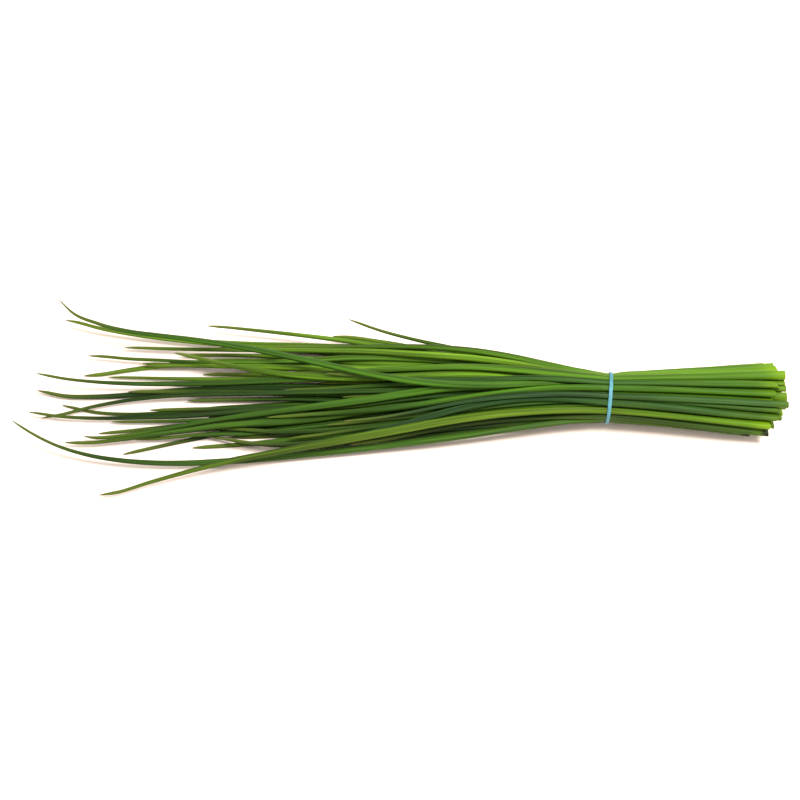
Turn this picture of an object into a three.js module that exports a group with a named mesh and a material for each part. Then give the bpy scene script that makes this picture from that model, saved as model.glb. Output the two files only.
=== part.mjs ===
// A bunch of cut chives lying on its side: hollow leaves, held together near their cut ends by one
// rubber band. Millimetres, +Z up. +X points to the cut ends, and the tips fan out towards -X, the far
// side being +Y. The bunch rests on Z = 0, with the middle of its outline at X = Y = 0.
//
// The leaves are first laid out in a frame whose X = 0 is the band. They then settle: each leaf is a line
// of centres, one on every station plane across the bunch, and the centres are pushed apart until no two
// leaves touch.
import * as THREE from "three";

// Band.
const BAND_WIDTH = 1.5;
const BAND_THICKNESS = 0.6;
const BAND_LEAN = 0.055; // how far its top leans towards the cut ends, as a slope
const BAND_SKEW = 0.066; // how far its far side is ahead of its near side, as a slope
const BAND_SEGMENTS = 40;
const BAND_CORNER = 0.2;

// Leaves.
const LEAF_SIDES = 6;
const LEAF_RADIUS = 1.2; // of a leaf of average girth, halfway up
const GIRTH_RANGE = 0.38; // between the thinnest and the thickest leaf, as a share of that radius
const BASE_SWELL = 0.16; // how much thicker a leaf is at its cut end
const TAPER_LENGTH = 135; // from the tip to where a leaf is full
const TIP_SHARE = 0.42; // of the full radius, just behind the point
const TAPER_POWER = 1.7;
const POINT_LENGTH = 3; // the last stretch, which ends in a point
const WALL_SHARE = 0.34; // of the radius, at the cut end, round the leaf's hollow

// The bunch.
const BAND_COLUMNS = [3, 5, 7, 9, 11, 9, 7, 5, 3]; // leaves in each upright column, far side first
const SEAT_RADIUS = 9.1; // of the round bundle that the band holds
const SEAT_HALF_LENGTH = 3.5;
const SQUEEZE = 0.2; // how much of its radius a leaf loses under the band
const SQUEEZE_LENGTH = 36; // over which it fills out again
const CLEARANCE = 0.16; // kept between any two leaves
const BAND_CLEARANCE = 0.2; // kept between the leaves and the band
const STEM = 66; // from the band to the furthest cut end
const STEM_RANGE = 7; // between one cut end and the next
const FAR_LAG = 8; // how much shorter the furthest stems on the far side are, since they bend outwards
const LOW_LAG = 20; // the same for the low stems on the near side
const LOW_BELOW = 0.4; // the place in the band, from -1 to 1, that counts as low
const FLARE_FAR_WIDTH = 16.5; // from the middle to the furthest cut end on the far side
const FLARE_NEAR_WIDTH = 14;
const FLARE_HALF_HEIGHT = 8;
const FLARE_MIDDLE = 9.3; // height of the middle of the cut ends
const FLARE_NEAR_SAG = 3.5; // how much lower they lie on the near side
const FLARE_SHIFT = 3; // how far a stem strays sideways from its place in the flare
const SAG_LENGTH = 70; // from the band to where a leaf has sagged halfway to the table
const LIFT_POWER = 5; // how late a leaf lifts off what lies under it
const WAVE = 1; // how far a leaf sways to either side of its course
const WAVE_LENGTH = 140;
const CURL_START = 0.8; // the share of a leaf after which its tip curls sideways
const CURL_POWER = 3;
const COURSE_STOPS = [0, 0.5, 0.75, 1]; // the shares of a leaf's reach at which its course is given
const LEAVING_LENGTH = 20; // over which a leaf turns from the band's direction to its own course

// Leaves whose tips show, from the far side of the fan to the near side. reach is how far the tip lies
// from the band, and halfway, late and tip are how far the leaf lies off the middle at half of that, at
// three quarters and at its tip. The tip then curls sideways by curl, and lifts by lift. rise is the leaf's
// place in the band, from 0 at the bottom to 1 at the top, and over is how far it is held up halfway by the
// leaves that it crosses.
const SHOWN_LEAVES = [
  { reach: 98, halfway: 22, late: 30, tip: 41, curl: 0, lift: 3, rise: 1, over: 0 },
  { reach: 104, halfway: 23, late: 31, tip: 36, curl: 0, lift: 1, rise: 0.6, over: 0 },
  { reach: 153, halfway: 25, late: 35, tip: 40, curl: 0, lift: 3, rise: 0.85, over: 0 },
  { reach: 208, halfway: 32, late: 34, tip: 44, curl: 0, lift: 4, rise: 0.65, over: 0 },
  { reach: 198, halfway: 22, late: 23, tip: 27, curl: 0, lift: 1, rise: 0.35, over: 0 },
  { reach: 210, halfway: 14, late: 29, tip: 31, curl: 14, lift: 12, rise: 0.95, over: 5 },
  { reach: 177, halfway: 21, late: 22, tip: 24, curl: 0, lift: 0, rise: 0.3, over: 0 },
  { reach: 199, halfway: 26, late: 25, tip: 18, curl: 0, lift: 0, rise: 0.15, over: 0 },
  { reach: 216, halfway: 12, late: 12, tip: 11, curl: 3, lift: 6, rise: 0.8, over: 1 },
  { reach: 164, halfway: 11, late: 15, tip: 23, curl: 0, lift: 7, rise: 0.9, over: 1 },
  { reach: 106, halfway: 5, late: 9, tip: 12, curl: 0, lift: 3, rise: 0.98, over: 0 },
  { reach: 216, halfway: 12, late: 10, tip: 3, curl: 7, lift: 1, rise: 0.4, over: 0 },
  { reach: 206, halfway: 4, late: 1, tip: -2, curl: 6, lift: 0, rise: 0.25, over: 0 },
  { reach: 218, halfway: 0, late: -3, tip: -5, curl: 4, lift: 1, rise: 0.5, over: 0 },
  { reach: 213, halfway: 6, late: 7, tip: -4, curl: 0, lift: 0, rise: 0.7, over: 1 },
  { reach: 191, halfway: -1, late: -4, tip: -10, curl: 0, lift: 0, rise: 0.1, over: 0 },
  { reach: 196, halfway: 0, late: -7, tip: -17, curl: 4, lift: 0, rise: 0.85, over: 1 },
  { reach: 203, halfway: -4, late: -11, tip: -18, curl: 2, lift: 0, rise: 0.6, over: 0 },
  { reach: 181, halfway: -4, late: -9, tip: -20, curl: 0, lift: 0, rise: 0.4, over: 1 },
  { reach: 150, halfway: -8, late: -16, tip: -11, curl: 0, lift: 1, rise: 0.2, over: 0 },
  { reach: 150, halfway: -9, late: -13, tip: -8, curl: 0, lift: 0, rise: 0.7, over: 0 },
  { reach: 99, halfway: -6, late: -9, tip: -11, curl: 0, lift: 2, rise: 0.95, over: 0 },
  { reach: 145, halfway: -10, late: -18, tip: -15, curl: 0, lift: 1, rise: 0.9, over: 0 },
  { reach: 122, halfway: -10, late: -15, tip: -21, curl: 0, lift: 0, rise: 0.3, over: 0 },
  { reach: 155, halfway: -13, late: -18, tip: -24, curl: -4, lift: 0, rise: 0.2, over: 0 },
  { reach: 223, halfway: -22, late: -25, tip: -16, curl: 8, lift: 6, rise: 0.5, over: 0 },
  { reach: 188, halfway: -18, late: -28, tip: -41, curl: 0, lift: 0, rise: 0.9, over: 4 },
];

// The other leaves end inside the fan, which spreads sooner on its far side.
const INNER_REACH = [95, 190];
const INNER_TIP = [-21, 34];
const FAR_SPREAD = [0.77, 0.92]; // share of the way sideways, at half the reach and at three quarters
const NEAR_SPREAD = [0.55, 0.78];

// Settling.
const STATIONS_BY_BAND = [SEAT_HALF_LENGTH, 11, 21, 34, 50]; // distances from the band, on both sides of it
const FAN_STATION_STEP = 12;
const FAN_REACH = 230;
const SETTLING_ROUNDS = 900;
const FINAL_ROUNDS = 500; // in which nothing pulls, so that what is left of each overlap goes
const PULL = 0.03; // of the way to the leaf's own shape, each round
const STIFFNESS = 0.35; // how much of a bump in a leaf's displacement is smoothed out, each round

const GOLDEN_SHARE = (Math.sqrt(5) - 1) / 2;
const evenly = (n, offset = 0) => (n * GOLDEN_SHARE + offset) % 1; // spreads 0, 1, 2... evenly over 0 to 1
const between = ([low, high], share) => low + (high - low) * share;

// Station planes, from the cut ends to the furthest tip.
function stationPlanes() {
  const planes = [STEM, ...STATIONS_BY_BAND.toReversed(), ...STATIONS_BY_BAND.map((x) => -x)];
  while (planes.at(-1) > -FAN_REACH) planes.push(planes.at(-1) - FAN_STATION_STEP);
  return planes;
}
const STATIONS = stationPlanes();

// The radius of a leaf of full radius full at a distance x from the band, its tip lying at tipX.
function radiusAt(x, full, tipX) {
  const toGo = Math.max(0, 1 - (x - tipX) / TAPER_LENGTH);
  const taper = TIP_SHARE + (1 - TIP_SHARE) * (1 - toGo ** TAPER_POWER);
  const swell = 1 + (BASE_SWELL * Math.max(0, x)) / STEM;
  return full * taper * swell * squeezeAt(x);
}

// The share of its radius that the band leaves a leaf at a distance x from it.
function squeezeAt(x) {
  const fromSeat = Math.max(0, Math.abs(x) - SEAT_HALF_LENGTH) / SQUEEZE_LENGTH;
  return 1 - SQUEEZE * Math.exp(-fromSeat * fromSeat);
}

// The smooth course that takes the values given at the four stops.
function courseThrough(values, t) {
  return values.reduce((sum, value, n) => {
    const own = COURSE_STOPS[n];
    const others = COURSE_STOPS.filter((stop) => stop !== own);
    return sum + value * others.reduce((share, stop) => (share * (t - stop)) / (own - stop), 1);
  }, 0);
}

// Every leaf's growth: its lengths, girth, course and place in the band.
function growLeaves() {
  const leaves = SHOWN_LEAVES.map((leaf) => ({ ...leaf }));
  const leafCount = BAND_COLUMNS.reduce((sum, column) => sum + column);
  const innerCount = leafCount - SHOWN_LEAVES.length;
  for (let n = 0; n < innerCount; n++) {
    const reach = between(INNER_REACH, evenly(n, 0.4));
    const tip = between(INNER_TIP, (n + 0.5) / innerCount);
    const [halfway, late] = (tip > 0 ? FAR_SPREAD : NEAR_SPREAD).map((spread) => tip * spread);
    leaves.push({ reach, halfway, late, tip, curl: 0, lift: 0, rise: evenly(n), over: 0 });
  }
  leaves.sort((a, b) => b.halfway / b.reach - a.halfway / a.reach);
  seatInBand(leaves);
  leaves.forEach((leaf, n) => {
    const far = Math.max(0, leaf.across) ** 2;
    const low = Math.max(0, -leaf.across) * Math.max(0, LOW_BELOW - leaf.up);
    leaf.cutX = STEM - STEM_RANGE * evenly(n, 0.3) ** 2 - FAR_LAG * far - LOW_LAG * low;
    leaf.cutShift = FLARE_SHIFT * (evenly(n, 0.6) - 0.5);
    leaf.sway = 2 * Math.PI * evenly(n, 0.8);
    leaf.tipX = -leaf.reach;
    leaf.radius = LEAF_RADIUS * (1 + GIRTH_RANGE * (evenly(n, 0.1) - 0.5));
  });
  return leaves;
}

// Gives every leaf its place in the round band, across and up, both from -1 to 1.
function seatInBand(leaves) {
  let seated = 0;
  BAND_COLUMNS.forEach((count, c) => {
    const column = leaves.slice(seated, seated + count).sort((a, b) => a.rise - b.rise);
    const across = 1 - (2 * (c + 0.5)) / BAND_COLUMNS.length;
    column.forEach((leaf, n) => {
      leaf.across = across;
      leaf.up = Math.sqrt(1 - across * across) * ((2 * (n + 0.5)) / count - 1);
    });
    seated += count;
  });
}

// The centre line that a leaf would take with no neighbours, as [y, z] at station x.
function ownShape(leaf, x, bandHeight) {
  const start = { y: leaf.across * SEAT_RADIUS, z: bandHeight + leaf.up * SEAT_RADIUS };
  if (x > 0) {
    const flared = x / STEM;
    const near = Math.max(0, -leaf.across);
    const flareY = leaf.across * (near > 0 ? FLARE_NEAR_WIDTH : FLARE_FAR_WIDTH) + leaf.cutShift;
    const flareZ = FLARE_MIDDLE + leaf.up * FLARE_HALF_HEIGHT - near * FLARE_NEAR_SAG;
    return [start.y + flared * (flareY - start.y), start.z + flared * (flareZ - start.z)];
  }
  const t = -x / leaf.reach;
  const swell = squeezeAt(x) / squeezeAt(0);
  const seated = start.y * swell;
  const turned = 1 - Math.exp(-((x / LEAVING_LENGTH) ** 2));
  const full = courseThrough([seated, leaf.halfway, leaf.late, leaf.tip], Math.min(t, 1));
  const course = seated + turned * (full - seated);
  const sagged = (start.z * swell) / (1 + (x / SAG_LENGTH) ** 2);
  const curled = leaf.curl * (Math.max(0, t - CURL_START) / (1 - CURL_START)) ** CURL_POWER;
  const midway = 4 * t * Math.max(0, 1 - t);
  const sway = WAVE * midway * Math.sin((2 * Math.PI * x) / WAVE_LENGTH + leaf.sway);
  const held = leaf.over * midway;
  return [course + sway + curled, sagged + held + leaf.lift * t ** LIFT_POWER];
}

// Lays a leaf's centres on the stations that it crosses, from one past its cut end to one past its tip.
function layOut(leaf, bandHeight) {
  leaf.first = STATIONS.findLastIndex((x) => x >= leaf.cutX);
  leaf.last = STATIONS.findIndex((x) => x <= leaf.tipX);
  leaf.own = STATIONS.map((x) => ownShape(leaf, x, bandHeight));
  leaf.r = STATIONS.map((x) => radiusAt(x, leaf.radius, leaf.tipX));
  leaf.at = leaf.own.map(([y, z], k) => [y, Math.max(z, leaf.r[k])]);
}

// Moves a leaf's centres towards its own shape, and smooths how far they are from it.
function relax(leaf, pull) {
  const { at, own, first, last } = leaf;
  for (const axis of [0, 1]) {
    const off = at.map((centre, k) => (centre[axis] - own[k][axis]) * (1 - pull));
    for (let k = first; k <= last; k++) {
      const before = off[Math.max(first, k - 1)];
      const after = off[Math.min(last, k + 1)];
      at[k][axis] = own[k][axis] + off[k] + STIFFNESS * ((before + after) / 2 - off[k]);
    }
  }
}

// Pushes two leaves apart where they come closest between stations k and k + 1.
function separate(a, b, k) {
  const [y0, z0] = [b.at[k][0] - a.at[k][0], b.at[k][1] - a.at[k][1]];
  const [dy, dz] = [b.at[k + 1][0] - a.at[k + 1][0] - y0, b.at[k + 1][1] - a.at[k + 1][1] - z0];
  const t = Math.min(1, Math.max(0, -(y0 * dy + z0 * dz) / (dy * dy + dz * dz + 1e-9)));
  const [y, z] = [y0 + t * dy, z0 + t * dz];
  const apart = Math.hypot(y, z) || 1e-6;
  const room = (a.r[k] + b.r[k]) * (1 - t) + (a.r[k + 1] + b.r[k + 1]) * t + CLEARANCE;
  const short = room - apart;
  if (short <= 0) return;
  const push = short / 2 / apart / ((1 - t) ** 2 + t * t);
  for (const [station, share] of [[k, 1 - t], [k + 1, t]]) {
    a.at[station][0] -= push * share * y;
    a.at[station][1] -= push * share * z;
    b.at[station][0] += push * share * y;
    b.at[station][1] += push * share * z;
  }
}

// Keeps a leaf on the table, and inside the band on the two stations beside it.
function hold(leaf, bandHeight) {
  leaf.at.forEach((centre, k) => {
    centre[1] = Math.max(centre[1], leaf.r[k]);
    if (Math.abs(STATIONS[k]) > SEAT_HALF_LENGTH) return;
    const out = Math.hypot(centre[0], centre[1] - bandHeight);
    const most = SEAT_RADIUS - leaf.r[k];
    if (out <= most) return;
    centre[0] *= most / out;
    centre[1] = bandHeight + (centre[1] - bandHeight) * (most / out);
  });
}

// Settles all the leaves together.
function settle(leaves, bandHeight) {
  const pairs = [];
  leaves.forEach((a, n) => leaves.slice(n + 1).forEach((b) => {
    const first = Math.max(a.first, b.first);
    const last = Math.min(a.last, b.last);
    for (let k = first; k < last; k++) pairs.push([a, b, k]);
  }));
  for (let round = 0; round < SETTLING_ROUNDS + FINAL_ROUNDS; round++) {
    if (round < SETTLING_ROUNDS) for (const leaf of leaves) relax(leaf, PULL);
    for (const [a, b, k] of pairs) separate(a, b, k);
    for (const leaf of leaves) hold(leaf, bandHeight);
  }
}

// The settled centre of a leaf at x, straight between stations.
function centreAt(leaf, x) {
  const k = Math.min(STATIONS.length - 2, Math.max(0, STATIONS.findLastIndex((station) => station >= x)));
  const t = (STATIONS[k] - x) / (STATIONS[k] - STATIONS[k + 1]);
  return leaf.at[k].map((from, axis) => from + t * (leaf.at[k + 1][axis] - from));
}

// A leaf: turned upright as a tapered tube with a hollow in its cut end, then laid along its centre line,
// each ring staying in its plane across the bunch.
function leafGeometry(leaf) {
  const planes = STATIONS.filter((x) => x < leaf.cutX && x > leaf.tipX + POINT_LENGTH);
  const width = (x) => radiusAt(x, leaf.radius, leaf.tipX);
  const hollow = width(leaf.cutX) * (1 - WALL_SHARE);
  const outline = [
    [0, leaf.tipX],
    [width(leaf.tipX + POINT_LENGTH), leaf.tipX + POINT_LENGTH],
    ...planes.toReversed().map((x) => [width(x), x]),
    [width(leaf.cutX), leaf.cutX],
    [hollow, leaf.cutX],
    [hollow, planes[0]],
    [0, planes[0]],
  ].map(([radius, x]) => new THREE.Vector2(radius, x));
  const geometry = new THREE.LatheGeometry(outline, LEAF_SIDES);
  const place = geometry.attributes.position;
  for (let n = 0; n < place.count; n++) {
    const x = place.getY(n);
    const [y, z] = centreAt(leaf, x);
    place.setXYZ(n, x, y + place.getZ(n), z + place.getX(n));
  }
  return geometry;
}

// The rubber band: a ring with softened edges, turned about X and leaning as it sits on the bunch.
const bandCosine = 1 / Math.hypot(1, BAND_LEAN, BAND_SKEW);
const bandInside = (SEAT_RADIUS + BAND_CLEARANCE) / bandCosine;
const bandHeight = (bandInside + BAND_THICKNESS) * bandCosine;

function bandGeometry() {
  const inside = bandInside;
  const outside = bandInside + BAND_THICKNESS;
  const half = BAND_WIDTH / 2;
  const outline = [
    [inside + BAND_CORNER, -half],
    [outside - BAND_CORNER, -half],
    [outside, -half + BAND_CORNER],
    [outside, half - BAND_CORNER],
    [outside - BAND_CORNER, half],
    [inside + BAND_CORNER, half],
    [inside, half - BAND_CORNER],
    [inside, -half + BAND_CORNER],
    [inside + BAND_CORNER, -half],
  ].map(([radius, along]) => new THREE.Vector2(radius, along));
  return new THREE.LatheGeometry(outline, BAND_SEGMENTS);
}

function makeBand() {
  const rubber = new THREE.MeshStandardMaterial({ color: 0x7cc4e0, roughness: 0.6, metalness: 0 });
  const band = new THREE.Mesh(bandGeometry(), rubber);
  band.name = "rubber_band";
  band.position.z = bandHeight;
  const facing = new THREE.Vector3(1, -BAND_SKEW, -BAND_LEAN).normalize();
  band.quaternion.setFromUnitVectors(new THREE.Vector3(0, 1, 0), facing);
  return band;
}

function makeLeaves() {
  const leaves = growLeaves();
  for (const leaf of leaves) layOut(leaf, bandHeight);
  settle(leaves, bandHeight);
  return leaves.map((leaf, n) => {
    const green = new THREE.MeshStandardMaterial({ color: 0x4f8a2b, roughness: 0.45, metalness: 0 });
    const mesh = new THREE.Mesh(leafGeometry(leaf), green);
    mesh.name = "leaf_" + String(n + 1).padStart(2, "0");
    return mesh;
  });
}

const bunch = new THREE.Group();
bunch.name = "chive_bunch";
bunch.add(...makeLeaves(), makeBand());

const outline = new THREE.Box3().setFromObject(bunch, true);
const middle = outline.getCenter(new THREE.Vector3());
bunch.position.set(-middle.x, -middle.y, -outline.min.z);

export default bunch;
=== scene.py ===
"""The looks of a bunch of cut chives lying on its side, held near its cut ends by one rubber band.

Metres, +Z up. +X points to the cut ends, the tips fan out towards -X, and the far side is +Y. Each leaf is
grown again, finer, along the centre line of its CAD solid, and is pressed by its neighbours, the table and
the band. The growing is done in millimetres.
"""

import math
from types import SimpleNamespace

import bpy
import numpy as np
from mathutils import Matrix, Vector


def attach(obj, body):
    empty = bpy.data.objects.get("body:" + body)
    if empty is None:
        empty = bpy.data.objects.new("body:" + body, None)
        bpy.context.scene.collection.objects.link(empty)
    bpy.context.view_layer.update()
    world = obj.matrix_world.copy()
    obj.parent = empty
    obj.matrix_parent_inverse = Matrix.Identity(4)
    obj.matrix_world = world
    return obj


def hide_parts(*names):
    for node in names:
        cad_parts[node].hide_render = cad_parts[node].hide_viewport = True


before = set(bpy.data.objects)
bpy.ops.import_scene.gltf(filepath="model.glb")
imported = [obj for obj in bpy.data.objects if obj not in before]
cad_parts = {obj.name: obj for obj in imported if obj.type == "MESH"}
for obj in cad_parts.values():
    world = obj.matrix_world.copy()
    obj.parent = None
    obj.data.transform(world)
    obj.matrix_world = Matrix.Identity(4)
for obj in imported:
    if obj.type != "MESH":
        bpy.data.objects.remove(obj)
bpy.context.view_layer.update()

MM = 0.001
GOLDEN_SHARE = (math.sqrt(5) - 1) / 2
BAND_NODE = "rubber_band"

# Leaf shape, in millimetres.
SIDES = 24  # corners of a leaf's section
RING_STEP = 2.0
POINT_LENGTH = 3.0  # the last stretch of a leaf, which ends in a point
POINT_RINGS = [0.06, 0.2, 0.5, 1.0, 1.7]  # from the very tip
NARROWING = 5.0  # the stretch over which the tip narrows to its point
PLUMP = 0.08  # how much further a leaf swells than its CAD solid, until something stops it
PLUMP_AT_BAND = 0.26  # and how much more beside the band
BAND_HOLD = 36.0  # how far from the band that fades
PRESS_SHARPNESS = 7.0  # how squarely a leaf flattens where it is pressed
KISS = 0.03  # left between two leaves that press on each other
OVAL = 0.06
SLUMP = 0.2  # how much wider than high a leaf lies away from the band
SLUMP_LENGTH = 90.0  # from the tip, which is round, to where the leaf lies as wide as that
CUT_OVAL = 0.16  # how much more oval the knife has squeezed a leaf at its cut
CUT_OVAL_LENGTH = 7.0
GIRTH_WOBBLE = 0.035
FURROW_DEPTH = 0.3  # of a leaf's radius
FURROW_WIDTH = 0.5  # in radians
FAIRING = 0.4  # how much of a bend beside the band is smoothed out, each round
FAIRING_ROUNDS = 3
FAIRING_REACH = 70.0
WALL = 0.36  # of a leaf's tube, where it is cut
REACH_OF_PRESSING = 6.0  # leaves further apart than this do not press on each other
UNDER_LEAVES = 0.03  # kept between the table and the leaves
RIM = 0.04  # between the two rings that keep an edge of the cut crisp
HOLLOW_DEPTHS = [0.06, 0.6, 2.0, 5.0, 10.0]
CUT_SLANT = 1.5
STRAIGHT_RADIUS = 1.4  # of a leaf's skin laid straight, for its patterns
STRAIGHT_SPACING = 40.0
VEIN_SPACING = 0.8

# Band, in millimetres.
BAND_WIDTH = 1.35
BAND_THICKNESS = 0.5
BAND_STEPS = 144
BAND_BITE = 0.25  # how far the band sinks into the leaves
BAND_CORNER = 0.24  # the rounding of its section
BAND_CORNER_STEPS = 4
BAND_LIFT = 0.03  # kept between the band and the leaves
BAND_CATCH = 1.3  # leaves this near the band's middle hold it out

# Greens from the far side of the bunch to the near side. The far leaves lie on top and are painted lighter:
# painted light from above, over each leaf's own green.
SIDE_GREENS_WITH_PAINTED_TOP_LIGHT = [
    ["#4C6C12", "#577A16", "#426312", "#516F14"],
    ["#27410D", "#31500E", "#21380E", "#2B470C"],
    ["#29430E", "#33500D", "#233B12", "#2D480E"],
]
# How much lighter and yellower each of those grows towards its cut end. The far side's larger share is partly
# painted light on the top of the bunch, besides the paler base.
BASE_PALING_WITH_PAINTED_TOP_LIGHT = [0.9, 0.65, 0.3]
# Leaves whose own green is easy to tell from the rest.
OWN_GREENS = {
    "leaf_21": "#35570E",
    "leaf_26": "#294610",
    "leaf_44": "#33550A",
    "leaf_51": "#243C1C",
    "leaf_52": "#1E3712",
    "leaf_57": "#445A0E",
    "leaf_59": "#26380C",
}
OWN_BASE_LIGHT = {"leaf_57": 1.0, "leaf_11": 1.2}
LOW_CUTS_PAINTED_DARK = ["leaf_55", "leaf_58", "leaf_59"]  # painted nearly black at their cuts: painted shade on the lowest stems, under the bunch



def share(n, offset=0.0):
    """Spreads 0, 1, 2... evenly over 0 to 1."""
    return (n * GOLDEN_SHARE + offset) % 1


def linear(hex_colour):
    """An sRGB hex colour as linear light."""
    parts = [int(hex_colour[k : k + 2], 16) / 255 for k in (1, 3, 5)]
    return [p / 12.92 if p <= 0.04045 else ((p + 0.055) / 1.055) ** 2.4 for p in parts] + [1.0]


# ---- the leaves' own courses, read from the frame


def cad_points(name):
    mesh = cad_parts[name].data
    flat = np.empty(3 * len(mesh.vertices))
    mesh.vertices.foreach_get("co", flat)
    return flat.reshape(-1, 3) / MM


def read_leaf(name):
    """A leaf's stations along X, with its centre and radius at each. Its CAD solid has a ring there."""
    points = cad_points(name)
    stations = np.unique(points[:, 0].round(1))
    rings = [points[abs(points[:, 0] - x) < 0.08] for x in stations]
    centres = np.array([(ring.min(axis=0) + ring.max(axis=0)) / 2 for ring in rings])
    radii = [np.linalg.norm(ring[:, 1:] - centre[1:], axis=1).max() for ring, centre in zip(rings, centres)]
    x, at = centres[:, 0], centres[:, 1:]
    easing = FAIRING * np.exp(-(((x[1:-1] - band.centre[0]) / FAIRING_REACH) ** 2))[:, None]
    part = ((x[1:-1] - x[:-2]) / (x[2:] - x[:-2]))[:, None]
    for _ in range(FAIRING_ROUNDS):
        at[1:-1] += easing * (at[:-2] + part * (at[2:] - at[:-2]) - at[1:-1])
    return SimpleNamespace(name=name, x=x, at=at, radius=np.array(radii))


def smooth_through(stations, values, x):
    """Values at x, on one smooth curve through the values at the stations."""
    slope = np.gradient(values, stations, axis=0)
    k = np.clip(np.searchsorted(stations, x, side="right") - 1, 0, len(stations) - 2)
    step = (stations[k + 1] - stations[k])[:, None]
    t = ((x - stations[k])[:, None] / step).clip(0, 1)
    before = values[k] * (1 + 2 * t) + slope[k] * step * t
    after = values[k + 1] * (3 - 2 * t) - slope[k + 1] * step * (1 - t)
    return before * (1 - t) ** 2 + after * t**2


def swollen(leaf, x):
    """The radius that a leaf would take at x with nothing pressing on it."""
    from_tip = (x - leaf.x[0]) / NARROWING
    radius = np.interp(x, leaf.x[1:], leaf.radius[1:])
    from_band = np.maximum(0, abs(x - band.centre[0]) - 3) / BAND_HOLD
    plump = PLUMP + PLUMP_AT_BAND * np.exp(-(from_band**2))
    point = np.clip(from_tip, 0, 1) ** 0.45
    wobble = 1 + GIRTH_WOBBLE * np.sin(x / 9 + leaf.phase * 40) * np.sin(x / 23 + leaf.phase * 17)
    return (radius + plump) * point * wobble


def furrow(leaf, x, angle, twist):
    """How much of its radius a leaf loses in the furrow along it, which comes and goes."""
    middle = math.pi / 2 + 0.7 * math.sin(leaf.phase * 30) + 0.3 * np.sin(twist)
    off = np.angle(np.exp(1j * (angle[None, :] - middle)))
    there = np.clip(0.3 + np.sin(x / 31 + leaf.phase * 50) + 0.5 * np.sin(x / 13 + leaf.phase * 20), 0, 1)
    return FURROW_DEPTH * there[:, None] * np.exp(-((off / FURROW_WIDTH) ** 2))


def pressed_rings(leaf, x):
    """The centre and the corners of each of a leaf's rings, once its neighbours, the table and the band press
    on it."""
    angle = 2 * np.pi * np.arange(SIDES) / SIDES
    out = np.stack([np.cos(angle), np.sin(angle)], axis=1)
    centre = smooth_through(leaf.x, leaf.at, x)
    own = swollen(leaf, x)[:, None]
    from_cut = (leaf.x[-1] - x[:, None]) / CUT_OVAL_LENGTH
    oval = OVAL + CUT_OVAL * np.exp(-(from_cut**2))
    twist = leaf.phase * 6 + x[:, None] / 60
    slump = SLUMP * (1 - np.exp(-(((x[:, None] - band.centre[0]) / BAND_HOLD) ** 2)))
    slump *= np.clip((x[:, None] - leaf.x[0]) / SLUMP_LENGTH, 0, 1)
    shape = 1 + oval * np.cos(2 * (angle[None, :] - twist)) + slump * np.cos(2 * angle[None, :])
    own = own * shape * (1 - furrow(leaf, x, angle, twist))
    crowd = np.zeros_like(own)

    def press(towards, room, where=True):
        """Presses on the leaf with a flat face at the distance room, across the unit vectors towards."""
        facing = towards @ out.T
        limit = np.maximum(room, 0.3 * own.min(axis=1))[:, None] / np.maximum(facing, 1e-3)
        pressed = np.broadcast_to(where, x.shape)[:, None] & (facing > 0.02)
        return np.where(pressed, (own / limit) ** PRESS_SHARPNESS, 0)

    for other in leaves:
        if other is leaf:
            continue
        there = (x > other.x[0]) & (x < other.x[-1] + 0.5)
        apart = smooth_through(other.x, other.at, x) - centre
        distance = np.maximum(np.linalg.norm(apart, axis=1), 0.2)
        near = there & (distance < REACH_OF_PRESSING)
        if not near.any():
            continue
        theirs = swollen(other, x)
        room = (distance**2 + own.mean(axis=1) ** 2 - theirs**2) / (2 * distance) - KISS / 2
        crowd += press(apart / distance[:, None], room, near)
    crowd += press(np.tile([0.0, -1.0], (len(x), 1)), centre[:, 1] - UNDER_LEAVES)
    reach = own * (1 + crowd) ** (-1 / PRESS_SHARPNESS)
    place = centre[:, None, :] + reach[:, :, None] * out[None, :, :]
    return centre, hug(place, x)


def hug(place, x):
    """Keeps rings inside the band, which bites into the leaves and lets them swell again on both sides."""
    from_axis = place - band.centre[None, None, 1:]
    height = np.linalg.norm(from_axis, axis=2)
    plane_x = band.centre[0] - (from_axis @ band.axis[1:]) / band.axis[0]
    off_plane = np.maximum(0, abs(x[:, None] - plane_x) - BAND_WIDTH / 2)
    most = band.inside - BAND_BITE + 0.5 * np.tanh(off_plane / 2.5) + (off_plane / 8) ** 2
    return band.centre[None, None, 1:] + from_axis * np.minimum(1, most / height)[:, :, None]


# ---- meshes


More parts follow.
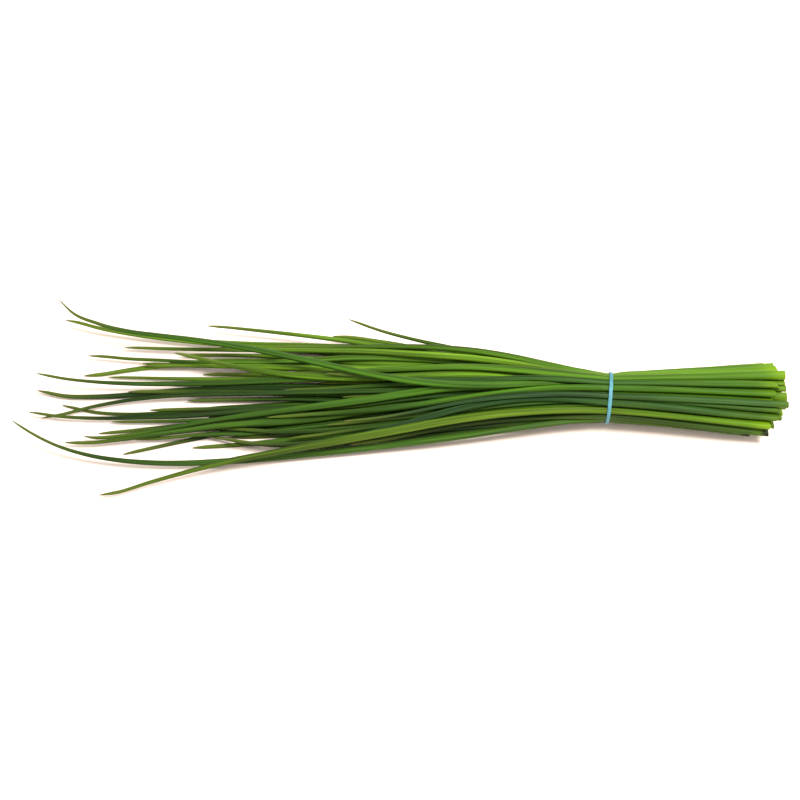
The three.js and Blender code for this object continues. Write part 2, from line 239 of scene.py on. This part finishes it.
def mesh_object(name, rings, ends, materials, second_from, lengths, attributes):
    """A closed skin over rings of points, in millimetres, with a point at each end. Faces from the ring
    numbered second_from on take the second material. lengths says how far along the skin each ring lies."""
    count, sides = len(rings), len(rings[0])
    points = np.concatenate([*rings, [ends[0]], [ends[1]]]) * MM
    corners, sizes, places = [], [], []
    around = [n / sides for n in range(sides + 1)]
    span = lengths[-1] - lengths[0] or 1

    def down(k):
        return 0.004 + 0.992 * (lengths[k] - lengths[0]) / span

    for k in range(-1, count):
        for n in range(sides):
            m = (n + 1) % sides
            left, right = around[n], around[n + 1]
            if k < 0:
                face = [count * sides, m, n]
                spots = [((left + right) / 2, 0.001), (right, down(0)), (left, down(0))]
            elif k == count - 1:
                last = k * sides
                face = [last + n, last + m, count * sides + 1]
                spots = [(left, down(k)), (right, down(k)), ((left + right) / 2, 0.999)]
            else:
                low, high = k * sides, (k + 1) * sides
                face = [low + n, low + m, high + m, high + n]
                spots = [(left, down(k)), (right, down(k)), (right, down(k + 1)), (left, down(k + 1))]
            corners += face
            sizes.append(len(face))
            places += spots
    mesh = bpy.data.meshes.new(name)
    starts = np.concatenate([[0], np.cumsum(sizes)[:-1]])
    mesh.vertices.add(len(points))
    mesh.vertices.foreach_set("co", points.ravel())
    mesh.loops.add(len(corners))
    mesh.loops.foreach_set("vertex_index", corners)
    mesh.polygons.add(len(sizes))
    mesh.polygons.foreach_set("loop_start", starts)
    mesh.update(calc_edges=True)
    mesh.polygons.foreach_set("use_smooth", np.ones(len(sizes), bool))
    for material in materials:
        mesh.materials.append(material)
    slots = (np.arange(len(sizes)) >= (second_from + 1) * sides) * (len(materials) > 1)
    mesh.polygons.foreach_set("material_index", slots.astype(int))
    for key, (kind, values) in attributes.items():
        layer = mesh.attributes.new(key, kind, "POINT")
        field = {"FLOAT": "value", "FLOAT_VECTOR": "vector", "FLOAT_COLOR": "color"}[kind]
        layer.data.foreach_set(field, np.asarray(values, dtype=np.float32).ravel())
    layer = mesh.uv_layers.new(name="OFBake")
    layer.data.foreach_set("uv", np.array(places, dtype=np.float32).ravel())
    mesh.validate()
    piece = bpy.data.objects.new(name, mesh)
    bpy.context.collection.objects.link(piece)
    return piece


# ---- materials


def add_node(tree, kind, settings, inputs):
    """Adds a node with its settings, and sets each input to a value or joins it to another node's output."""
    node = tree.nodes.new("ShaderNode" + kind)
    for key, value in settings.items():
        setattr(node, key, value)
    for key, value in inputs.items():
        if isinstance(value, bpy.types.NodeSocket):
            tree.links.new(value, node.inputs[key])
        else:
            node.inputs[key].default_value = value
    return node


def new_material(name):
    material = bpy.data.materials.new(name)
    material.use_nodes = True
    material.node_tree.nodes.clear()
    return material, material.node_tree


def chive_skin():
    """Living chive leaf: a smooth tube of green skin under a thin film of wax. The film gives broad soft
    highlights and a bluish-grey bloom in patches, and veins run along the leaf as finer, lighter lines. Veins
    are taken to lie about 0.35 mm apart, too fine to show, so they are drawn at VEIN_SPACING."""
    material, tree = new_material("chive_skin")
    straight = add_node(tree, "Attribute", {"attribute_name": "straight"}, {}).outputs["Vector"]
    # leaf_green and base_light make the far, upper side of the bunch lighter: painted light from above.
    green = add_node(tree, "Attribute", {"attribute_name": "leaf_green"}, {}).outputs["Color"]
    from_tip = add_node(tree, "Attribute", {"attribute_name": "from_tip"}, {}).outputs["Fac"]
    from_cut = add_node(tree, "Attribute", {"attribute_name": "from_cut"}, {}).outputs["Fac"]
    base_light = add_node(tree, "Attribute", {"attribute_name": "base_light"}, {}).outputs["Fac"]
    cut_painted_shade = add_node(tree, "Attribute", {"attribute_name": "cut_painted_shade"}, {}).outputs["Fac"]
    waxy = add_node(tree, "Attribute", {"attribute_name": "waxy"}, {}).outputs["Fac"]
    withered = add_node(tree, "Attribute", {"attribute_name": "withered"}, {}).outputs["Fac"]

    vein_scale = (1 / VEIN_SPACING, 1 / VEIN_SPACING, 0.014)
    along_veins = add_node(tree, "Mapping", {}, {"Vector": straight, "Scale": vein_scale})
    veins = add_node(
        tree, "TexNoise", {},
        {"Vector": along_veins.outputs["Vector"], "Scale": 1.0, "Detail": 3.0, "Roughness": 0.6},
    )
    patches = add_node(tree, "Mapping", {}, {"Vector": straight, "Scale": (0.3, 0.3, 0.035)})
    patch = add_node(tree, "TexNoise", {}, {"Vector": patches.outputs["Vector"], "Scale": 1.0, "Detail": 3.0})

    # Veins lighten and darken the green, and slow patches turn it yellower.
    vein_light = add_node(
        tree, "MapRange", {},
        {"Value": veins.outputs["Fac"], "From Min": 0.32, "From Max": 0.68, "To Min": 0.68, "To Max": 1.4},
    )
    veined = add_node(
        tree, "Mix", {"data_type": "RGBA", "blend_type": "MULTIPLY"},
        {0: 1.0, 6: green, 7: vein_light.outputs[0]},
    )
    # Broad streaks, where the leaf is pressed thin or folded, run along it.
    along_streaks = add_node(tree, "Mapping", {}, {"Vector": straight, "Scale": (0.55, 0.55, 0.02)})
    streaks = add_node(
        tree, "TexNoise", {},
        {"Vector": along_streaks.outputs["Vector"], "Scale": 1.0, "Detail": 2.0, "Distortion": 0.4},
    )
    streak_light = add_node(
        tree, "MapRange", {},
        {"Value": streaks.outputs["Fac"], "From Min": 0.36, "From Max": 0.64, "To Min": 0.6, "To Max": 1.5},
    )
    streaked = add_node(
        tree, "Mix", {"data_type": "RGBA", "blend_type": "MULTIPLY"},
        {0: 1.0, 6: veined.outputs[2], 7: streak_light.outputs[0]},
    )
    yellowing = add_node(
        tree, "MapRange", {},
        {"Value": patch.outputs["Fac"], "From Min": 0.5, "From Max": 0.75, "To Min": 0.0, "To Max": 0.35},
    )
    patched = add_node(
        tree, "Mix", {"data_type": "RGBA"},
        {0: yellowing.outputs[0], 6: streaked.outputs[2], 7: linear("#43590E")},
    )
    # The upper half of a leaf is a deeper green.
    depth = add_node(
        tree, "MapRange", {},
        {"Value": from_tip, "From Min": 30.0, "From Max": 130.0, "To Min": 0.62, "To Max": 1.0},
    )
    deep = add_node(
        tree, "Mix", {"data_type": "RGBA", "blend_type": "MULTIPLY"},
        {0: 1.0, 6: patched.outputs[2], 7: depth.outputs[0]},
    )
    # Towards the cut end the leaf is paler and yellower.
    base_share = add_node(
        tree, "MapRange", {"interpolation_type": "SMOOTHSTEP"},
        {"Value": from_cut, "From Min": 0.0, "From Max": 90.0, "To Min": 0.6, "To Max": 0.0},
    )
    based_by = add_node(tree, "Math", {"operation": "MULTIPLY"}, {0: base_share.outputs[0], 1: base_light})
    based = add_node(
        tree, "Mix", {"data_type": "RGBA"}, {0: based_by.outputs[0], 6: deep.outputs[2], 7: linear("#4A7006")}
    )
    # The last few millimetres before the knife's cut are yellowest.
    cut_share = add_node(
        tree, "MapRange", {"interpolation_type": "SMOOTHSTEP"},
        {"Value": from_cut, "From Min": 0.0, "From Max": 9.0, "To Min": 0.7, "To Max": 0.0},
    )
    cut_by = add_node(tree, "Math", {"operation": "MULTIPLY"}, {0: cut_share.outputs[0], 1: base_light})
    sheared = add_node(
        tree, "Mix", {"data_type": "RGBA"}, {0: cut_by.outputs[0], 6: based.outputs[2], 7: linear("#6C8C0C")}
    )
    # Bloom: wax in patches.
    bloom_share = add_node(
        tree, "MapRange", {},
        {"Value": patch.outputs["Fac"], "From Min": 0.3, "From Max": 0.6, "To Min": 0.24, "To Max": 0.02},
    )
    bloom = add_node(tree, "Math", {"operation": "MULTIPLY"}, {0: bloom_share.outputs[0], 1: waxy})
    bloomed = add_node(
        tree, "Mix", {"data_type": "RGBA"}, {0: bloom.outputs[0], 6: sheared.outputs[2], 7: linear("#2E4A2C")}
    )
    # The tip turns yellow, and its very end withers to straw.
    tip_yellow = add_node(
        tree, "MapRange", {"interpolation_type": "SMOOTHSTEP"},
        {"Value": from_tip, "From Min": 1.0, "From Max": 34.0, "To Min": 0.65, "To Max": 0.0},
    )
    yellow = add_node(
        tree, "Mix", {"data_type": "RGBA"},
        {0: tip_yellow.outputs[0], 6: bloomed.outputs[2], 7: linear("#55641E")},
    )
    tip_dry = add_node(
        tree, "MapRange", {"interpolation_type": "SMOOTHSTEP"},
        {"Value": from_tip, "From Min": 0.3, "From Max": 3.5, "To Min": 1.0, "To Max": 0.0},
    )
    dry = add_node(tree, "Math", {"operation": "MULTIPLY"}, {0: tip_dry.outputs[0], 1: withered})
    dried = add_node(
        tree, "Mix", {"data_type": "RGBA"}, {0: dry.outputs[0], 6: yellow.outputs[2], 7: linear("#66593A")}
    )
    # The lowest stems' cuts are painted nearly black for their last two millimetres: painted shade under the
    # bunch.
    cut_shade_ramp = add_node(
        tree, "MapRange", {"interpolation_type": "SMOOTHSTEP"},
        {"Value": from_cut, "From Min": 1.0, "From Max": 3.5, "To Min": 0.9, "To Max": 0.0},
    )
    cut_shade_by = add_node(tree, "Math", {"operation": "MULTIPLY"}, {0: cut_shade_ramp.outputs[0], 1: cut_painted_shade})
    colour = add_node(
        tree, "Mix", {"data_type": "RGBA"},
        {0: cut_shade_by.outputs[0], 6: dried.outputs[2], 7: linear("#14140A")},
    )
    rough = add_node(
        tree, "MapRange", {},
        {"Value": veins.outputs["Fac"], "From Min": 0.3, "From Max": 0.7, "To Min": 0.52, "To Max": 0.4},
    )
    relief = add_node(
        tree, "Bump", {}, {"Height": veins.outputs["Fac"], "Strength": 0.5, "Distance": 0.0002}
    )
    shader = add_node(
        tree, "BsdfPrincipled", {},
        {
            "Base Color": colour.outputs[2],
            "Roughness": rough.outputs[0],
            "Normal": relief.outputs[0],
            "IOR": 1.45,
            "Specular IOR Level": 0.14,
        },
    )
    add_node(tree, "OutputMaterial", {}, {"Surface": shader.outputs[0]})
    return material


def cut_flesh():
    """Cut chive flesh: the wet pale wall of the tube, sheared by a knife. It is lighter and glossier than the
    skin, and its cells show as fine mottling."""
    material, tree = new_material("cut_chive_flesh")
    straight = add_node(tree, "Attribute", {"attribute_name": "straight"}, {}).outputs["Vector"]
    cells = add_node(tree, "TexNoise", {}, {"Vector": straight, "Scale": 2.2, "Detail": 3.0})
    mottle = add_node(
        tree, "MapRange", {}, {"Value": cells.outputs["Fac"], "From Min": 0.35, "From Max": 0.65}
    )
    wall = add_node(
        tree, "Mix", {"data_type": "RGBA"}, {0: mottle.outputs[0], 6: linear("#7C9A38"), 7: linear("#A7B868")}
    )
    # Down the hollow it is painted a darker green: painted shade inside the tube.
    from_cut = add_node(tree, "Attribute", {"attribute_name": "from_cut"}, {}).outputs["Fac"]
    deep = add_node(tree, "MapRange", {}, {"Value": from_cut, "From Min": 0.1, "From Max": 2.5})
    colour = add_node(
        tree, "Mix", {"data_type": "RGBA"}, {0: deep.outputs[0], 6: wall.outputs[2], 7: linear("#3E5E14")}
    )
    relief = add_node(tree, "Bump", {}, {"Height": cells.outputs["Fac"], "Strength": 0.4, "Distance": 0.0001})
    shader = add_node(
        tree, "BsdfPrincipled", {},
        {"Base Color": colour.outputs[2], "Roughness": 0.3, "Normal": relief.outputs[0], "IOR": 1.4},
    )
    add_node(tree, "OutputMaterial", {}, {"Surface": shader.outputs[0]})
    return material


def sky_blue_rubber():
    """Natural rubber, cut from an extruded tube and dyed sky blue: a matte, slightly dusty skin, finely
    mottled."""
    material, tree = new_material("sky_blue_rubber")
    place = add_node(tree, "TexCoord", {}, {}).outputs["Object"]
    dust = add_node(tree, "TexNoise", {}, {"Vector": place, "Scale": 700.0, "Detail": 4.0})
    tone = add_node(
        tree, "MapRange", {}, {"Value": dust.outputs["Fac"], "From Min": 0.35, "From Max": 0.65}
    )
    colour = add_node(
        tree, "Mix", {"data_type": "RGBA"}, {0: tone.outputs[0], 6: linear("#3C767F"), 7: linear("#4A8894")}
    )
    relief = add_node(tree, "Bump", {}, {"Height": dust.outputs["Fac"], "Strength": 0.3, "Distance": 0.0001})
    rough = add_node(
        tree, "MapRange", {},
        {"Value": dust.outputs["Fac"], "From Min": 0.3, "From Max": 0.7, "To Min": 0.5, "To Max": 0.68},
    )
    shader = add_node(
        tree, "BsdfPrincipled", {},
        {
            "Base Color": colour.outputs[2],
            "Roughness": rough.outputs[0],
            "Normal": relief.outputs[0],
            "IOR": 1.52,
        },
    )
    add_node(tree, "OutputMaterial", {}, {"Surface": shader.outputs[0]})
    return material


def pale_board():
    """Matte painted board: the pale surface that the bunch lies on."""
    material, tree = new_material("pale_board")
    shader = add_node(
        tree, "BsdfPrincipled", {},
        {"Base Color": linear("#F6E2D5"), "Roughness": 0.9, "Specular IOR Level": 0.1},
    )
    add_node(tree, "OutputMaterial", {}, {"Surface": shader.outputs[0]})
    return material


# ---- the band's place


def read_band():
    """The band's centre, the direction of its axis and its inner radius."""
    points = cad_points(BAND_NODE)
    centre = (points.min(axis=0) + points.max(axis=0)) / 2
    axis = np.linalg.svd(points - points.mean(axis=0), full_matrices=False)[2][2]
    axis = axis * np.sign(axis[0])
    across = np.cross([0, 0, 1], axis)
    across /= np.linalg.norm(across)
    up = np.cross(axis, across)
    from_axis = points - centre
    from_axis -= np.outer(from_axis @ axis, axis)
    inside = np.linalg.norm(from_axis, axis=1).min()
    return SimpleNamespace(centre=centre, axis=axis, across=across, up=up, inside=inside)


band = read_band()
leaves = [read_leaf(name) for name in sorted(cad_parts) if name != BAND_NODE]
for n, leaf in enumerate(leaves):
    leaf.phase = share(n)

skin = chive_skin()
flesh = cut_flesh()
rubber = sky_blue_rubber()


def cut_end(leaf, outer, middle, cut):
    """The rings of a leaf's cut: in over its wall, then down its hollow. Also how far on each one lies."""
    radius = np.linalg.norm(outer[:, 1:] - middle[1:], axis=1).mean()
    rings, lengths = [], []
    for inset, depth in [(RIM, 0), (WALL - RIM, 0), (WALL, 0), *[(WALL, depth) for depth in HOLLOW_DEPTHS]]:
        ring = middle + (outer - middle) * (1 - inset / radius)
        ring[:, 1:] += smooth_through(leaf.x, leaf.at, np.array([cut - depth]))[0] - middle[1:]
        ring[:, 0] -= depth
        rings.append(ring)
        lengths.append(inset + depth)
    return rings, lengths


def grow(leaf, n):
    """Makes a leaf from its tip to its cut end, and down into the hollow of the cut."""
    tip, cut = leaf.x[0], leaf.x[-1]
    steps = int((cut - tip - POINT_LENGTH) / RING_STEP)
    evenly = np.linspace(tip + POINT_LENGTH, cut - RIM, steps)
    x = np.concatenate([tip + np.array(POINT_RINGS), evenly, [cut]])
    centre, place = pressed_rings(leaf, x)
    rings = [np.column_stack([np.full(SIDES, at), ring]) for at, ring in zip(x, place)]
    # The knife went through a little aslant.
    slope = CUT_SLANT * (share(n, 0.5) - 0.4)
    turn = 2 * math.pi * share(n, 0.2)
    for ring in rings[-2:]:
        off = ring[:, 1:] - centre[-1]
        ring[:, 0] += slope * (off[:, 0] * math.cos(turn) + off[:, 1] * math.sin(turn))
    inner, walked = cut_end(leaf, rings[-1], np.array([cut, *centre[-1]]), cut)
    lengths = [*(x - tip), *(cut - tip + np.array(walked))]
    rings += inner
    end = rings[-1].mean(axis=0)
    tip_point = np.array([tip, *leaf.at[0]])
    points = np.concatenate([*rings, [tip_point], [end]])
    # The leaf's skin laid straight: the same tube, upright, with its cut end at the bottom.
    angle = 2 * np.pi * np.arange(SIDES) / SIDES
    round_ring = np.stack([np.cos(angle), np.sin(angle)], axis=1) * STRAIGHT_RADIUS
    corner = STRAIGHT_SPACING * n
    heights = [cut - ring[:, 0].mean() for ring in rings]
    straight = [np.column_stack([round_ring + corner, np.full(SIDES, height)]) for height in heights]
    straight_ends = [[corner, corner, cut - tip], [corner, corner, HOLLOW_DEPTHS[-1]]]
    straight = np.concatenate([*straight, straight_ends])
    # The side of the bunch picks a green and a paling at the base that are lighter on the far, upper side:
    # painted light from above.
    side = int(len(SIDE_GREENS_WITH_PAINTED_TOP_LIGHT) * n / len(leaves))
    green = linear(OWN_GREENS.get(leaf.name, SIDE_GREENS_WITH_PAINTED_TOP_LIGHT[side][int(len(SIDE_GREENS_WITH_PAINTED_TOP_LIGHT[side]) * share(n, 0.7))]))
    ones = np.ones(len(points))
    attributes = {
        "straight": ("FLOAT_VECTOR", straight),
        "leaf_green": ("FLOAT_COLOR", np.tile(green, (len(points), 1))),
        "from_tip": ("FLOAT", points[:, 0] - tip),
        "from_cut": ("FLOAT", cut - points[:, 0]),
        "base_light": ("FLOAT", ones * OWN_BASE_LIGHT.get(leaf.name, BASE_PALING_WITH_PAINTED_TOP_LIGHT[side])),
        # The lowest stems get painted shade: their cuts nearly black.
        "cut_painted_shade": ("FLOAT", ones * (leaf.name in LOW_CUTS_PAINTED_DARK)),
        "waxy": ("FLOAT", ones * share(n, 0.4)),
        "withered": ("FLOAT", ones * share(n, 0.9)),
    }
    name = leaf.name + "_skin"
    piece = mesh_object(name, rings, (tip_point, end), [skin, flesh], len(x) - 1, lengths, attributes)
    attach(piece, "root")
    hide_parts(leaf.name)
    return np.concatenate(rings)


grown = np.concatenate([grow(leaf, n) for n, leaf in enumerate(leaves)])


def stretch_band(grown):
    """The band: pulled tight round the leaves under it, so that it spans from crown to crown."""
    from_centre = grown - band.centre
    under = from_centre[abs(from_centre @ band.axis) < BAND_CATCH]
    angle = 2 * np.pi * np.arange(BAND_STEPS) / BAND_STEPS
    out = np.outer(np.cos(angle), band.across) + np.outer(np.sin(angle), band.up)
    support = (under @ out.T).max(axis=0)
    facing = np.cos(angle[:, None] - angle[None, :])
    reach = np.where(facing > 0.05, support[None, :] / np.maximum(facing, 0.05), 1e3).min(axis=1)
    reach = (np.roll(reach, 1) + 2 * reach + np.roll(reach, -1)) / 4
    # A rounded oblong section: across the band, and out from the leaves.
    along_by = BAND_WIDTH / 2 - BAND_CORNER
    low, high = BAND_CORNER, BAND_THICKNESS - BAND_CORNER
    section = []
    for turn, (middle_along, middle_out) in enumerate(
        [(along_by, low), (along_by, high), (-along_by, high), (-along_by, low)]
    ):
        for part in range(BAND_CORNER_STEPS):
            a = math.pi / 2 * (turn - 1 + part / (BAND_CORNER_STEPS - 1))
            section.append((middle_along + BAND_CORNER * math.cos(a), middle_out + BAND_CORNER * math.sin(a)))
    rings = []
    for k in range(BAND_STEPS):
        width = 1 + 0.05 * math.sin(3 * angle[k] + 1) + 0.03 * math.sin(8 * angle[k])
        drift = 0.12 * math.sin(2 * angle[k] + 0.6)
        ring = []
        for along, up_by in section:
            outwards = out[k] * (reach[k] + BAND_LIFT + up_by)
            ring.append(band.centre + outwards + band.axis * (along * width + drift))
        rings.append(ring)
    rings = np.array(rings)
    rings[:, :, 2] = np.maximum(rings[:, :, 2], 0.02)
    return rings


def band_object(rings):
    count, sides = rings.shape[:2]
    points = rings.reshape(-1, 3) * MM
    faces, places = [], []
    for k in range(count):
        for n in range(sides):
            a, b = k * sides + n, k * sides + (n + 1) % sides
            c, d = (k + 1) % count * sides + (n + 1) % sides, (k + 1) % count * sides + n
            faces.append((a, b, c, d))
            u0, u1, v0, v1 = k / count, (k + 1) / count, n / sides, (n + 1) / sides
            places += [(u0, v0), (u0, v1), (u1, v1), (u1, v0)]
    mesh = bpy.data.meshes.new("band_rubber")
    mesh.from_pydata([tuple(p) for p in points], [], faces)
    mesh.materials.append(rubber)
    layer = mesh.uv_layers.new(name="OFBake")
    layer.data.foreach_set("uv", np.array(places, dtype=np.float32).ravel())
    mesh.polygons.foreach_set("use_smooth", np.ones(len(faces), bool))
    piece = bpy.data.objects.new("band_rubber", mesh)
    bpy.context.collection.objects.link(piece)
    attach(piece, "root")
    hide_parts(BAND_NODE)


band_object(stretch_band(grown))

# ---- floor, light and camera

bpy.ops.mesh.primitive_plane_add(size=8)
floor = bpy.context.object
floor.name = "floor"
floor.data.materials.append(pale_board())

world = bpy.data.worlds.new("studio")
world.use_nodes = True
world.node_tree.nodes["Background"].inputs["Color"].default_value = (1.0, 1.0, 1.0, 1.0)
world.node_tree.nodes["Background"].inputs["Strength"].default_value = 1.2
bpy.context.scene.world = world


def softbox(name, place, aim, size, power):
    """A square softbox at a place, facing aim."""
    light = bpy.data.lights.new(name, "AREA")
    light.shape = "SQUARE"
    light.size = size
    light.energy = power
    lamp = bpy.data.objects.new(name, light)
    lamp.location = place
    lamp.rotation_euler = (Vector(aim) - Vector(place)).to_track_quat("-Z", "Y").to_euler()
    bpy.context.collection.objects.link(lamp)


softbox("softbox_above", (0.5, -0.18, 0.85), (0, 0, 0), 0.3, 13)

CAMERA_ELEVATION = math.radians(50)
CAMERA_DISTANCE = 0.833
aim = Vector(((band.centre[0] - 78) * MM, band.centre[1] * MM, 8.6 * MM))
back = Vector((0, -math.cos(CAMERA_ELEVATION), math.sin(CAMERA_ELEVATION)))
lens = bpy.data.cameras.new("camera")
lens.lens = 100
lens.sensor_width = 36
camera = bpy.data.objects.new("camera", lens)
camera.location = aim + back * CAMERA_DISTANCE
camera.rotation_euler = (-back).to_track_quat("-Z", "Y").to_euler()
bpy.context.collection.objects.link(camera)
bpy.context.scene.camera = camera
bpy.context.scene.view_settings.view_transform = "Standard"
